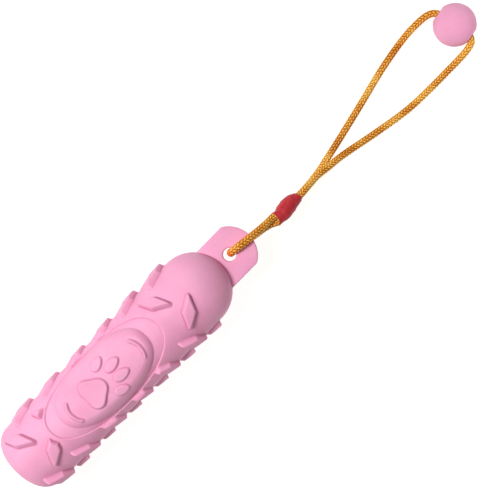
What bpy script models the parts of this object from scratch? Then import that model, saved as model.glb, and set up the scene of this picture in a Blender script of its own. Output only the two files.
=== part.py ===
"""Training bumper: a studded moulded dummy with a throw cord and a toggle ball.

The bumper lies along X with its tab at +X, medallion up, resting on the flat
pads of the lower medallion. The origin is on the floor under its middle.
"""
import math

import bmesh
import bpy
import numpy as np
from mathutils import Matrix, Vector

MM = 0.001

# Bumper body
AXIS_Z = 30.0            # height of the body's axis, and the reach of the pads
BODY_R = 26.1            # barrel radius between the studs
DOME_X = 59.7            # centre of the spherical end
BASE_X = -94.2           # where the barrel turns into the rounded base
BASE_REACH = 19.0        # length of the rounded base
BODY_SIDES = 48
END_RINGS = 9

# Tab with its eyelet
TAB_ROOT_X = 72.0
TAB_HALF_WIDTH = 17.3
TAB_END_X = 113.2
TAB_END_R = 20.0
TAB_CORNER_R = 4.0
TAB_THICK = 6.0
TAB_EDGE_R = 1.0
EYELET_X = 94.2
EYELET_R = 4.5
EYELET_ROUND = 1.2

# Rhombic studs, eight staggered columns round the barrel
STUD_LONG = 25.8
STUD_SHORT = 8.9
STUD_TURN = 48.3         # long diagonal, degrees from the axis
STUD_TOP = 28.0          # distance of the flat tops from the axis
STUD_ROOT = 24.0
STUD_PITCH = 25.4
STUD_ROWS = 6
STUD_COLUMNS = 8
FIRST_COLUMN_DEG = -16.0
LEAN_PLUS_X = 48.9       # first stud of the columns that lean one way
LEAN_MINUS_X = 36.2      # and of those that lean the other way

# Medallion, the same on both sides
MEDAL_X = -21.5
MEDAL_OUTER = (49.9, 23.0)
MEDAL_INNER = (40.4, 20.4)
OUTER_R = 27.3           # the outer oval follows this cylinder
PANEL_TOP = 28.7         # height of the inner panel over the axis
PANEL_R = 46.0           # its flatter curvature
PANEL_SLOPE = 3.2        # width of the sloped edge of the panel
MEDAL_ROOT = 9.0
STUD_CLEARANCE = 2.4     # clear band between the oval and the studs cut by it
OVAL_SIDES = 40

# Paw emblem, placed from the medallion's middle
PAW_TOES = (             # x, y, half length, half width, turn in degrees
    (3.5, -12.0, 5.4, 3.4, -20.0),
    (10.5, -4.6, 6.2, 3.7, -6.0),
    (10.5, 4.6, 6.2, 3.7, 6.0),
    (3.5, 12.0, 5.4, 3.4, 20.0),
)
TOE_TAPER = 0.18
PAW_PAD = (-10.5, 9.0, 10.5)     # x, half length, half width
PAW_PAD_LOBE = 1.4
END_RIB_REACH = 33.0
END_RIB_R = 14.0
END_RIB_WIDTH = 2.4
END_RIB_HALF_DEG = 36.0
EMBLEM_ROOT = 20.0

# Throw cord
CORD_D = 4.5
SAMPLES_PER_STEP = 2
# From the end inside the sleeve: under the tab, up through the eyelet, over the
# tab, through the sleeve, round the loop and the ball, and back into the sleeve.
CORD_ROUTE = (
    (148.3, -8.1, 16.8), (140.9, -8.0, 19.8), (133.4, -7.8, 22.9),
    (126.5, -5.0, 24.2), (104.0, -1.1, 22.0), (98.0, -0.3, 24.2),
    (95.6, 0.2, 30.0), (98.0, 0.1, 35.8), (104.0, -0.7, 38.0),
    (114.0, -2.1, 35.6), (126.5, -3.0, 29.9), (134.3, -3.4, 26.0),
    (139.1, -5.5, 25.0), (150.3, -5.6, 20.5), (155.5, -6.1, 18.2),
    (175.4, -5.1, 10.9), (186.0, -6.3, 7.0), (199.0, -7.8, 3.8),
    (229.2, -13.8, 2.7), (255.0, -18.0, 2.7), (277.0, -19.0, 3.0),
    (292.0, -18.9, 6.0), (303.5, -18.7, 12.0), (311.0, -18.1, 14.7),
    (316.2, -16.5, 15.0), (318.9, -12.6, 15.0), (318.6, -8.0, 15.0),
    (315.4, 9.0, 15.0), (314.5, 13.2, 15.0), (312.0, 16.6, 14.9),
    (307.6, 18.6, 14.0), (300.0, 19.5, 10.4), (288.5, 19.2, 4.8),
    (264.0, 15.3, 2.7), (231.0, 7.5, 2.7), (195.0, -0.6, 2.8),
    (175.4, -4.3, 5.7), (153.7, -5.2, 13.2), (149.3, -3.3, 16.2),
    (139.1, -3.2, 20.5),
)
CORD_BEVEL = 3

# Shrink sleeve over the lapped cord ends, and the whipping inside it
SLEEVE_START = (133.3, -5.5, 24.3)
SLEEVE_END = (155.1, -5.8, 15.5)
LAP_CENTRES = ((0.0, 2.8), (-2.4, -1.4), (2.4, -1.4))
NECK_LOW_CENTRES = ((2.0, 1.3), (-2.3, -0.8))
NECK_HIGH_CENTRES = ((-0.7, 2.3), (0.6, -2.4))
LAP_HALF = 6.3           # half length of the stretch that holds three strands
WHIPPING_HALF = 4.0
WHIPPING_GAP = 0.3
WHIPPING_WALL = 0.3
SLEEVE_GAP = 0.86        # from the strands, with the whipping in between
SLEEVE_WALL = 0.45
SLEEVE_SIDES = 28

# Toggle ball
BALL_CENTRE = (317.0, 0.2, 15.0)
BALL_R = 15.0
BORE_R = 2.9
BORE_ROUND = 3.0         # rounding of the bore's mouths
BORE_AXIS = (-0.178, 0.984, 0.0)
BALL_RINGS = 14
BALL_SIDES = 32

PINK = (0.90, 0.42, 0.62)
GOLD = (0.83, 0.40, 0.04)
RED = (0.45, 0.03, 0.04)
CREAM = (0.75, 0.68, 0.52)


def clear_scene():
    """Remove every object, so that the script can run twice."""
    for item in list(bpy.data.objects):
        bpy.data.objects.remove(item, do_unlink=True)


def make_material(name, colour, roughness):
    """A plain Principled material in the piece's colour."""
    material = bpy.data.materials.new(name)
    material.use_nodes = True
    shader = material.node_tree.nodes["Principled BSDF"]
    shader.inputs["Base Color"].default_value = (*colour, 1.0)
    shader.inputs["Roughness"].default_value = roughness
    shader.inputs["Metallic"].default_value = 0.0
    return material


def add_object(name, bm, material=None, smooth_angle=None):
    """Turn a bmesh in millimetres into a named object in metres."""
    bmesh.ops.recalc_face_normals(bm, faces=bm.faces)
    bmesh.ops.transform(bm, matrix=Matrix.Scale(MM, 4), verts=bm.verts)
    mesh = bpy.data.meshes.new(name)
    bm.to_mesh(mesh)
    bm.free()
    if smooth_angle is not None:
        mesh.shade_smooth()
        mesh.set_sharp_from_angle(angle=math.radians(smooth_angle))
    item = bpy.data.objects.new(name, mesh)
    bpy.context.scene.collection.objects.link(item)
    if material is not None:
        mesh.materials.append(material)
    return item


def add_helper(name, bm):
    """A guide that another object's Boolean uses; it isn't part of the object."""
    item = add_object(name, bm)
    item.hide_render = True
    item.display_type = "WIRE"
    return item


def combine(target, other, operation):
    """Add an exact Boolean to the target's stack."""
    step = target.modifiers.new(other.name, "BOOLEAN")
    step.object = other
    step.operation = operation
    step.solver = "EXACT"


def loft(bm, rings, closed_ends=True):
    """Bridge equal rings of points in order, and cap the first and last."""
    loops = [[bm.verts.new(point) for point in ring] for ring in rings]
    for lower, upper in zip(loops, loops[1:]):
        count = len(lower)
        for index in range(count):
            after = (index + 1) % count
            bm.faces.new((lower[index], lower[after], upper[after], upper[index]))
    if closed_ends:
        bm.faces.new(list(reversed(loops[0])))
        bm.faces.new(loops[-1])
    return loops


def close_to_point(bm, loop, point):
    """Close a ring with a fan that meets at a pole."""
    pole = bm.verts.new(point)
    for index, vert in enumerate(loop):
        bm.faces.new((vert, loop[(index + 1) % len(loop)], pole))


def body_profile():
    """(x, radius) from the base to the dome, without the two poles."""
    base = []
    for step in range(1, END_RINGS + 1):
        angle = 0.5 * math.pi * step / END_RINGS
        base.append((BASE_X - BASE_REACH * math.cos(angle), BODY_R * math.sin(angle)))
    dome = []
    for step in range(END_RINGS, 0, -1):
        angle = 0.5 * math.pi * step / END_RINGS
        dome.append((DOME_X + BODY_R * math.cos(angle), BODY_R * math.sin(angle)))
    return base + dome


def make_barrel_mesh():
    """The plain turned body: rounded base, barrel and spherical dome."""
    bm = bmesh.new()
    rings = []
    for x, radius in body_profile():
        ring = []
        for side in range(BODY_SIDES):
            angle = 2.0 * math.pi * side / BODY_SIDES
            ring.append((x, radius * math.cos(angle), AXIS_Z + radius * math.sin(angle)))
        rings.append(ring)
    loops = loft(bm, rings, closed_ends=False)
    close_to_point(bm, loops[0], (BASE_X - BASE_REACH, 0.0, AXIS_Z))
    close_to_point(bm, loops[-1], (DOME_X + BODY_R, 0.0, AXIS_Z))
    return bm


def tab_outline(inset):
    """Plan of the tab: straight sides, small corners and a wide end arc."""
    half = TAB_HALF_WIDTH - inset
    corner = TAB_CORNER_R - inset
    arc_x = TAB_END_X - TAB_END_R
    reach = TAB_END_R - TAB_CORNER_R
    corner_y = TAB_HALF_WIDTH - TAB_CORNER_R
    corner_x = arc_x + math.sqrt(reach ** 2 - corner_y ** 2)
    join = math.asin(corner_y / reach)
    points = [(TAB_ROOT_X, -half)]
    for step in range(5):
        angle = -0.5 * math.pi + (0.5 * math.pi - join) * step / 4
        points.append((corner_x + corner * math.cos(angle), -corner_y + corner * math.sin(angle)))
    for step in range(1, 12):
        angle = -join + 2.0 * join * step / 12
        radius = TAB_END_R - inset
        points.append((arc_x + radius * math.cos(angle), radius * math.sin(angle)))
    for step in range(5):
        angle = join + (0.5 * math.pi - join) * step / 4
        points.append((corner_x + corner * math.cos(angle), corner_y + corner * math.sin(angle)))
    points.append((TAB_ROOT_X, half))
    return points


def make_tab_mesh():
    """The flat tab with rounded edges; its root is inside the dome."""
    bm = bmesh.new()
    rings = []
    levels = []
    for step in range(3):
        angle = 0.5 * math.pi * step / 2
        levels.append((0.5 * TAB_THICK - TAB_EDGE_R * (1.0 - math.cos(angle)),
                       TAB_EDGE_R * (1.0 - math.sin(angle))))
    for height, inset in levels:
        rings.append([(x, y, AXIS_Z - height) for x, y in tab_outline(inset)])
    for height, inset in reversed(levels):
        rings.append([(x, y, AXIS_Z + height) for x, y in tab_outline(inset)])
    loft(bm, rings)
    return bm


def make_eyelet_mesh():
    """Cutter for the eyelet, with rounded mouths on both faces."""
    bm = bmesh.new()
    half = 0.5 * TAB_THICK
    profile = [(-half - 1.0, EYELET_R + EYELET_ROUND)]
    for step in range(4):
        angle = 0.5 * math.pi * step / 3
        profile.append((-half + EYELET_ROUND * (1.0 - math.cos(angle)),
                        EYELET_R + EYELET_ROUND * (1.0 - math.sin(angle))))
    profile += [(-height, radius) for height, radius in reversed(profile)]
    rings = []
    for height, radius in profile:
        ring = []
        for side in range(32):
            angle = 2.0 * math.pi * side / 32
            ring.append((EYELET_X + radius * math.cos(angle), radius * math.sin(angle), AXIS_Z + height))
        rings.append(ring)
    loft(bm, rings)
    return bm


def add_stud(bm, x, angle_deg, lean):
    """One rhombic prism with a flat top, square to the radius at its middle."""
    angle = math.radians(angle_deg)
    outward = Vector((0.0, math.sin(angle), math.cos(angle)))
    around = Vector((0.0, math.cos(angle), -math.sin(angle)))
    turn = math.radians(STUD_TURN) * lean
    along = Vector((1.0, 0.0, 0.0)) * math.cos(turn) + around * math.sin(turn)
    across = outward.cross(along)
    centre = Vector((x, 0.0, AXIS_Z))
    corners = (along * 0.5 * STUD_LONG, across * 0.5 * STUD_SHORT,
               along * -0.5 * STUD_LONG, across * -0.5 * STUD_SHORT)
    rings = [[centre + outward * height + corner for corner in corners]
             for height in (STUD_ROOT, STUD_TOP)]
    loft(bm, rings)


def stud_places():
    """(x, angle, lean) of each stud whose middle is clear of the medallions."""
    places = []
    for column in range(STUD_COLUMNS):
        angle = FIRST_COLUMN_DEG + 360.0 / STUD_COLUMNS * column
        lean = 1 if column % 2 == 0 else -1
        first = LEAN_PLUS_X if lean > 0 else LEAN_MINUS_X
        for row in range(STUD_ROWS):
            x = first - STUD_PITCH * row
            y = STUD_TOP * math.sin(math.radians(angle))
            inside = ((x - MEDAL_X) / MEDAL_OUTER[0]) ** 2 + (y / MEDAL_OUTER[1]) ** 2
            if inside > 1.0:
                places.append((x, angle, lean))
    return places


def make_studs_mesh():
    """All the studs as separate prisms in one mesh."""
    bm = bmesh.new()
    for x, angle, lean in stud_places():
        add_stud(bm, x, angle, lean)
    return bm


def oval(semi, count=OVAL_SIDES):
    """Points round a medallion oval."""
    return [(MEDAL_X + semi[0] * math.cos(2.0 * math.pi * index / count),
             semi[1] * math.sin(2.0 * math.pi * index / count)) for index in range(count)]


def make_clearance_mesh():
    """Cutter that trims the studs round the medallions."""
    bm = bmesh.new()
    semi = (MEDAL_OUTER[0] + STUD_CLEARANCE, MEDAL_OUTER[1] + STUD_CLEARANCE)
    rings = [[(x, y, AXIS_Z + height) for x, y in oval(semi)] for height in (-40.0, 40.0)]
    loft(bm, rings)
    return bm


def outer_height(y):
    """Height over the axis of the outer oval's surface."""
    return math.sqrt(OUTER_R ** 2 - y ** 2)


def panel_height(y):
    """Height over the axis of the inner panel's surface."""
    return PANEL_TOP - PANEL_R + math.sqrt(PANEL_R ** 2 - y ** 2)


def make_plate_mesh(semi, height_of, edge, side):
    """An oval plate whose top follows height_of(y), with a sloped edge."""
    bm = bmesh.new()
    rings = [[(x, y, AXIS_Z + side * MEDAL_ROOT) for x, y in oval(semi)]]
    if edge > 0.0:
        rings.append([(x, y, AXIS_Z + side * outer_height(y)) for x, y in oval(semi)])
    top_semi = (semi[0] - edge, semi[1] - edge)
    for scale in (1.0, 0.75, 0.5, 0.25):
        points = oval((top_semi[0] * scale, top_semi[1] * scale))
        rings.append([(x, y, AXIS_Z + side * height_of(y)) for x, y in points])
    loops = loft(bm, rings, closed_ends=False)
    bm.faces.new(loops[0])
    close_to_point(bm, loops[-1], (MEDAL_X, 0.0, AXIS_Z + side * height_of(0.0)))
    return bm


def add_flat_pad(bm, outline, side):
    """A raised shape of the emblem, flat on the plane that the body rests on."""
    rings = [[(x, y, AXIS_Z + side * height) for x, y in outline]
             for height in (EMBLEM_ROOT, AXIS_Z)]
    loft(bm, rings)


def toe_outline(toe):
    """An egg-shaped toe pad."""
    x, y, half_long, half_wide, turn = toe
    spin = math.radians(turn)
    points = []
    for index in range(16):
        angle = 2.0 * math.pi * index / 16
        along = half_long * math.cos(angle)
        across = half_wide * math.sin(angle) * (1.0 - TOE_TAPER * math.cos(angle))
        points.append((MEDAL_X + x + along * math.cos(spin) - across * math.sin(spin),
                       y + along * math.sin(spin) + across * math.cos(spin)))
    return points


def main_pad_outline():
    """The three-lobed main pad of the paw."""
    x, half_long, half_wide = PAW_PAD
    points = []
    for index in range(30):
        angle = 2.0 * math.pi * index / 30
        lobe = PAW_PAD_LOBE * math.cos(3.0 * angle)
        points.append((MEDAL_X + x + (half_long + lobe) * math.cos(angle),
                       (half_wide + lobe) * math.sin(angle)))
    return points


def end_rib_outline(direction):
    """A curved rib inside one end of the oval."""
    centre = END_RIB_REACH - END_RIB_R
    outer, inner = [], []
    for step in range(9):
        angle = math.radians(END_RIB_HALF_DEG) * (step / 4.0 - 1.0)
        for radius, points in ((END_RIB_R, outer), (END_RIB_R - END_RIB_WIDTH, inner)):
            points.append((MEDAL_X + direction * (centre + radius * math.cos(angle)),
                           radius * math.sin(angle)))
    return outer + list(reversed(inner))


def make_emblem_mesh(side):
    """Paw print and end ribs of one side."""
    bm = bmesh.new()
    for toe in PAW_TOES:
        add_flat_pad(bm, toe_outline(toe), side)
    add_flat_pad(bm, main_pad_outline(), side)
    for direction in (-1, 1):
        add_flat_pad(bm, end_rib_outline(direction), side)
    return bm


def build_bumper_body(material):
    """The one-piece moulding: barrel, studs, two medallions and the tab."""
    body = add_object("bumper_body", make_barrel_mesh(), material, smooth_angle=35.0)
    studs = add_helper("studs_guide", make_studs_mesh())
    combine(studs, add_helper("stud_trim_guide", make_clearance_mesh()), "DIFFERENCE")
    combine(body, add_helper("tab_guide", make_tab_mesh()), "UNION")
    combine(body, studs, "UNION")
    for side, label in ((1, "upper"), (-1, "lower")):
        outer = make_plate_mesh(MEDAL_OUTER, outer_height, 0.0, side)
        panel = make_plate_mesh(MEDAL_INNER, panel_height, PANEL_SLOPE, side)
        combine(body, add_helper("outer_oval_guide_" + label, outer), "UNION")
        combine(body, add_helper("panel_guide_" + label, panel), "UNION")
        combine(body, add_helper("emblem_guide_" + label, make_emblem_mesh(side)), "UNION")
    combine(body, add_helper("eyelet_guide", make_eyelet_mesh()), "DIFFERENCE")
    return body


def smooth_route(points, samples):
    """Read points from a centripetal Catmull-Rom curve through the route."""
    route = [np.array(point) for point in points]
    route = [2 * route[0] - route[1]] + route + [2 * route[-1] - route[-2]]
    result = []
    for index in range(1, len(route) - 2):
        p0, p1, p2, p3 = route[index - 1:index + 3]
        t1 = np.linalg.norm(p1 - p0) ** 0.5
        t2 = t1 + np.linalg.norm(p2 - p1) ** 0.5
        t3 = t2 + np.linalg.norm(p3 - p2) ** 0.5
        for step in range(samples):
            t = t1 + (t2 - t1) * step / samples
            a1 = (t1 - t) / t1 * p0 + t / t1 * p1
            a2 = (t2 - t) / (t2 - t1) * p1 + (t - t1) / (t2 - t1) * p2
            a3 = (t3 - t) / (t3 - t2) * p2 + (t - t2) / (t3 - t2) * p3
            b1 = (t2 - t) / t2 * a1 + t / t2 * a2
            b2 = (t3 - t) / (t3 - t1) * a2 + (t - t1) / (t3 - t1) * a3
            result.append((t2 - t) / (t2 - t1) * b1 + (t - t1) / (t2 - t1) * b2)
    result.append(route[-2])
    return result


def build_throw_cord(material):
    """The braided cord as one plain tube along its route."""
    curve = bpy.data.curves.new("throw_cord", "CURVE")
    curve.dimensions = "3D"
    points = smooth_route(CORD_ROUTE, SAMPLES_PER_STEP)
    spline = curve.splines.new("POLY")
    spline.points.add(len(points) - 1)
    for target, point in zip(spline.points, points):
        target.co = (*(point * MM), 1.0)
    curve.bevel_depth = 0.5 * CORD_D * MM
    curve.bevel_resolution = CORD_BEVEL
    curve.use_fill_caps = True
    curve.materials.append(material)
    cord = bpy.data.objects.new("throw_cord", curve)
    bpy.context.scene.collection.objects.link(cord)
    return cord


def sleeve_frame():
    """Middle, direction, sideways and upward axes of the sleeve, and its half length."""
    start, end = Vector(SLEEVE_START), Vector(SLEEVE_END)
    along = (end - start).normalized()
    sideways = Vector((0.0, 0.0, 1.0)).cross(along).normalized()
    upward = along.cross(sideways)
    return (start + end) * 0.5, along, sideways, upward, (end - start).length * 0.5


def hull_ring(centres, radius):
    """Outline round a bundle of strands, one point for each direction."""
    ring = []
    for index in range(SLEEVE_SIDES):
        angle = 2.0 * math.pi * index / SLEEVE_SIDES
        direction = Vector((math.cos(angle), math.sin(angle)))
        furthest = max((Vector(centre) for centre in centres), key=direction.dot)
        ring.append(furthest + direction * radius)
    return ring


def bundle_ring(station, offset):
    """Outline of the strands at a station along the sleeve, grown by offset."""
    radius = 0.5 * CORD_D + offset
    lap = hull_ring(LAP_CENTRES, radius)
    half = sleeve_frame()[4]
    neck = hull_ring(NECK_HIGH_CENTRES if station > 0.0 else NECK_LOW_CENTRES, radius)
    share = max(0.0, min(1.0, (abs(station) - LAP_HALF) / (half - LAP_HALF)))
    share = share * share * (3.0 - 2.0 * share)
    return [a.lerp(b, share) for a, b in zip(lap, neck)]


def make_shell_mesh(stations, inner, outer):
    """A tube round the strands, open at both ends."""
    middle, along, sideways, upward, _ = sleeve_frame()
    rings = []
    for offset, order in ((inner, stations), (outer, list(reversed(stations)))):
        for station in order:
            rings.append([middle + along * station + sideways * point.x + upward * point.y
                          for point in bundle_ring(station, offset)])
    bm = bmesh.new()
    loops = loft(bm, rings, closed_ends=False)
    for index in range(SLEEVE_SIDES):
        after = (index + 1) % SLEEVE_SIDES
        bm.faces.new((loops[-1][index], loops[-1][after], loops[0][after], loops[0][index]))
    return bm


def build_splice(sleeve_material, thread_material):
    """Shrink sleeve, and the thread whipping that binds the lapped ends."""
    half = sleeve_frame()[4]
    stations = [-half, -half * 0.8, -LAP_HALF, 0.0, LAP_HALF, half * 0.8, half]
    sleeve = make_shell_mesh(stations, SLEEVE_GAP, SLEEVE_GAP + SLEEVE_WALL)
    add_object("shrink_sleeve", sleeve, sleeve_material, smooth_angle=40.0)
    whipping = make_shell_mesh([-WHIPPING_HALF, 0.0, WHIPPING_HALF],
                               WHIPPING_GAP, WHIPPING_GAP + WHIPPING_WALL)
    add_object("splice_whipping", whipping, thread_material, smooth_angle=40.0)


def make_ball_mesh():
    """A sphere with a through bore along Z and rounded mouths."""
    mouth_r = BORE_R + BORE_ROUND
    mouth_z = math.sqrt(BALL_R ** 2 - mouth_r ** 2)
    start = math.asin(mouth_r / BALL_R)
    profile = []
    for step in range(BALL_RINGS + 1):
        angle = start + (math.pi - 2.0 * start) * step / BALL_RINGS
        profile.append((BALL_R * math.sin(angle), BALL_R * math.cos(angle)))
    mouth = []
    for step in range(1, 6):
        angle = 0.5 * math.pi * step / 5
        mouth.append((mouth_r - BORE_ROUND * math.sin(angle),
                      mouth_z - BORE_ROUND * (1.0 - math.cos(angle))))
    profile += [(radius, -height) for radius, height in mouth]
    profile += list(reversed(mouth))
    profile.append(profile[0])
    bm = bmesh.new()
    rings = []
    for radius, height in profile:
        rings.append([(radius * math.cos(2.0 * math.pi * side / BALL_SIDES),
                       radius * math.sin(2.0 * math.pi * side / BALL_SIDES), height)
                      for side in range(BALL_SIDES)])
    loft(bm, rings, closed_ends=False)
    bmesh.ops.remove_doubles(bm, verts=bm.verts, dist=0.0001)
    return bm


def build_toggle_ball(material):
    """The bored ball, with its origin on the bore that it turns about."""
    ball = add_object("toggle_ball", make_ball_mesh(), material, smooth_angle=40.0)
    ball.rotation_mode = "QUATERNION"
    ball.rotation_quaternion = Vector(BORE_AXIS).to_track_quat("Z", "Y")
    ball.location = Vector(BALL_CENTRE) * MM
    return ball


def build_all():
    """Make every piece where it lies at rest."""
    clear_scene()
    build_bumper_body(make_material("bumper_rubber", PINK, 0.55))
    build_throw_cord(make_material("braided_cord", GOLD, 0.35))
    build_splice(make_material("shrink_tube", RED, 0.35), make_material("whipping_thread", CREAM, 0.8))
    build_toggle_ball(make_material("ball_rubber", PINK, 0.5))


build_all()
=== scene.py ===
"""Looks of the training bumper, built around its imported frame.

Lengths are in millimetres up to the moment a mesh is made, and in metres after.
"""
import math

import bmesh
import bpy
import numpy as np
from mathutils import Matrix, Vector


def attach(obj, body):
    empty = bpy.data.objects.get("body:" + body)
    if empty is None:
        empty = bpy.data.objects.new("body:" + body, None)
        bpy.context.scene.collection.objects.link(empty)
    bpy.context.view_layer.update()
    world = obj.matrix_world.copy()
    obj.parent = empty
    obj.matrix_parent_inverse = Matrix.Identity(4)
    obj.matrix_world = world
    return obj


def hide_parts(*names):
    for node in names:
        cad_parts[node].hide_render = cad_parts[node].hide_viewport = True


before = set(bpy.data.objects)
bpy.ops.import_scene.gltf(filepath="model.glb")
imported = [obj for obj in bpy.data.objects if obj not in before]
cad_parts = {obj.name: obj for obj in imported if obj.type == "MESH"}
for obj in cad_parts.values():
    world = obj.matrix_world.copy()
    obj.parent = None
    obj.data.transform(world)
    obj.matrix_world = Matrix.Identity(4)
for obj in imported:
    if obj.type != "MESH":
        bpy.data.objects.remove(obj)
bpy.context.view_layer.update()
MM = 0.001

# Camera, straight above the object and rolled about its own axis
EYE = (103.8, 0.48, 800.0)
EYE_ROLL_DEG = -45.53
LENS_MM = 83.5

# Bumper body: the CAD's layout, with fuller studs, a sunk oval and a blunter base
AXIS_Z = 30.0
BODY_R = 26.1
DOME_X = 59.7
BASE_X = -94.2
BASE_REACH = 16.6
BASE_ROUND = 2.45        # power of the base's outline, 2 for an ellipse
TAPER = 0.003            # growth of the radius per length, towards the tab
TAPER_FROM_X = -10.0
STUD_LONG = 28.0
STUD_SHORT = 9.0
STUD_TIP_R = 1.0
STUD_TURN = 48.3         # long diagonal, degrees from the axis
STUD_TOP = 28.6          # lowest half way along, rising towards both ends
STUD_TOP_MAX = 30.0
STUD_LOW_X = -35.0
STUD_RISE_PER_MM2 = 0.00038
STUD_PITCH = 25.4
STUD_ROWS = 6
STUD_COLUMNS = 8
FIRST_COLUMN_DEG = -16.0
LEAN_PLUS_X = 48.9       # first stud of the columns that lean one way
LEAN_MINUS_X = 36.2      # and of those that lean the other way
STUD_EDGE = 1.9          # width of a sloped wall
STUD_CLEARANCE = 4.0     # clear band between the oval and the studs cut by it
STUD_OFF_MEDAL = -0.6    # how far from the oval a stud's middle has to be
STUD_NEAR = 12.0         # reach of a stud along the body
STUD_NEAR_DEG = 34.0     # and round it
MEDAL_X = -21.5
MEDAL_TURN = math.radians(4.5)
MEDAL_OUTER = (49.8, 22.2)
MEDAL_FOOT = (39.4, 21.0)
MEDAL_CREST = (34.4, 14.6)
MEDAL_POWER = 2.3        # a little fuller than an ellipse
MEDAL_HALF_DEG = 74.0    # reach round the body
MEDAL_MAX_Y = 25.1
MEDAL_SEARCH = (20.0, 18.0)      # lowest radius, and how far over it to look
MEDAL_BLEND = 1.6        # width over which the oval runs out into the studs
RECESS_R = 25.2
RECESS_EDGE = 0.8
PANEL_TOP = 28.5
PANEL_R = 42.0
PANEL_POWER = 1.8        # roundness of the panel's slope
PAW_TOES = (             # x, y, half length, half width, turn in degrees
    (3.5, -12.0, 5.4, 3.4, -20.0),
    (10.5, -4.6, 6.2, 3.7, -6.0),
    (10.5, 4.6, 6.2, 3.7, 6.0),
    (3.5, 12.0, 5.4, 3.4, 20.0),
)
TOE_TAPER = 0.18
PAW_PAD = (-10.5, 9.0, 10.5)     # x, half length, half width
PAW_PAD_LOBE = 1.4
PAW_PAD_SLOPE = 0.94
END_RIB_REACH = 33.0
END_RIB_R = 14.0
END_RIB_WIDTH = 2.4
END_RIB_HALF_DEG = 36.0
EMBLEM_EDGE = 1.3
EMBLEM_RISE = 1.5        # of the toes and end ribs over the panel they follow
SOLVE_STEPS = 18
RING_STEP = 0.42
BASE_RINGS = 60
DOME_RINGS = 66
COLUMNS = 376
BODY_FACES = 184_000
BAND_CELLS = 1           # cells kept whole on each side of a fold
FOOT_FOLD = 3.0          # a fold this sharp gets the full painted shade at its foot; CREST_FOLD does the same for the painted highlight on a crest
CREST_FOLD = 5.0
PARTING_RISE = 0.11
PARTING_WIDTH = 0.2
PARTING_COLUMNS = (-0.42, -0.24, -0.1, 0.0, 0.1, 0.24, 0.42)
PARTING_GAP = 0.6
SHADE_DEPTH = 0.35       # a face this near the fine grid takes its normals
SHADE_MARGIN = 0.3
SHADE_AGREES = 0.8
SHARP_DEG = 50.0

# Tab with its eyelet
TAB_ROOT_X = 72.0
TAB_HALF_WIDTH = 17.3
TAB_END_X = 113.2
TAB_END_R = 20.0
TAB_CORNER_R = 4.0
TAB_THICK = 6.0
TAB_EDGE_R = 1.0
EYELET_X = 94.2
EYELET_R = 4.5
EYELET_ROUND = 1.2

# Throw cord, along the same route as the CAD's tube
CORD_D = 4.5
CORD_ROUTE = (
    (148.3, -8.1, 16.8), (140.9, -8.0, 19.8), (133.4, -7.8, 22.9),
    (126.5, -5.0, 24.2), (104.0, -1.1, 22.0), (98.0, -0.3, 24.2),
    (95.6, 0.2, 30.0), (98.0, 0.1, 35.8), (104.0, -0.7, 38.0),
    (114.0, -2.1, 35.6), (126.5, -3.0, 29.9), (134.3, -3.4, 26.0),
    (139.1, -5.5, 25.0), (150.3, -5.6, 20.5), (155.5, -6.1, 18.2),
    (175.4, -5.1, 10.9), (186.0, -6.3, 7.0), (199.0, -7.8, 3.8),
    (229.2, -13.8, 2.7), (255.0, -18.0, 2.7), (277.0, -19.0, 3.0),
    (292.0, -18.9, 6.0), (303.5, -18.7, 12.0), (311.0, -18.1, 14.7),
    (316.2, -16.5, 15.0), (318.9, -12.6, 15.0), (318.6, -8.0, 15.0),
    (315.4, 9.0, 15.0), (314.5, 13.2, 15.0), (312.0, 16.6, 14.9),
    (307.6, 18.6, 14.0), (300.0, 19.5, 10.4), (288.5, 19.2, 4.8),
    (264.0, 15.3, 2.7), (231.0, 7.5, 2.7), (195.0, -0.6, 2.8),
    (175.4, -4.3, 5.7), (153.7, -5.2, 13.2), (149.3, -3.3, 16.2),
    (139.1, -3.2, 20.5),
)
CORD_SAMPLES = 24        # points read from each step of the route
CORD_SWELL = (0.09, 104.0, 14.0)     # looser braid at the tab: share, x, reach
EYELET_PAINTED_LIGHT_REACH = 6.4    # reach of the painted warm light on the cord in the eyelet
BRAID_CARRIERS = 8       # in each direction
BRAID_LAY = 20.0         # length of one full turn of a carrier
BRAID_MEAN_R = 2.36
BRAID_WAVE = 0.3
BRAID_WAVE_POWER = 0.7
BRAID_STRAND = 0.7
BRAID_STEP = 0.27
BRAID_SIDES = 48

# Shrink sleeve and the thread whipping in it
SLEEVE_START = (133.3, -5.5, 24.3)
SLEEVE_END = (155.1, -5.8, 15.5)
SLEEVE_SIDES = 72
SLEEVE_STEP = 0.35
SLEEVE_WALL = 0.35
SLEEVE_SHARES = (0.0, 0.06, 0.12, 0.22, 0.32, 0.41, 0.54, 0.65, 0.75, 0.84, 0.9, 0.96, 1.0)
SLEEVE_LEFT = (4.6, 4.4, 4.3, 4.6, 5.4, 5.85, 6.3, 6.3, 6.05, 5.6, 5.0, 4.2, 3.7)
SLEEVE_RIGHT = (5.3, 4.8, 5.1, 5.85, 6.1, 6.1, 5.6, 5.1, 4.7, 4.4, 4.1, 3.7, 3.5)
SLEEVE_UP = (4.0, 4.2, 4.7, 5.4, 5.8, 6.0, 6.0, 6.0, 5.8, 5.5, 5.2, 4.9, 4.7)
SLEEVE_DOWN = (3.7, 4.0, 4.4, 4.9, 5.1, 5.2, 5.2, 5.2, 5.2, 5.2, 5.1, 4.9, 4.8)
STRAND_NEAR = 9.0        # other runs of the cord pass further from the axis
SKIN_GAP = 0.1
WHIP_HALF = 4.0
WHIP_THREAD_R = 0.19
WHIP_LIFT = 0.42         # of the sleeve over the whipping
WHIP_SIDES = 6
WHIP_TURN_STEPS = 44

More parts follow.
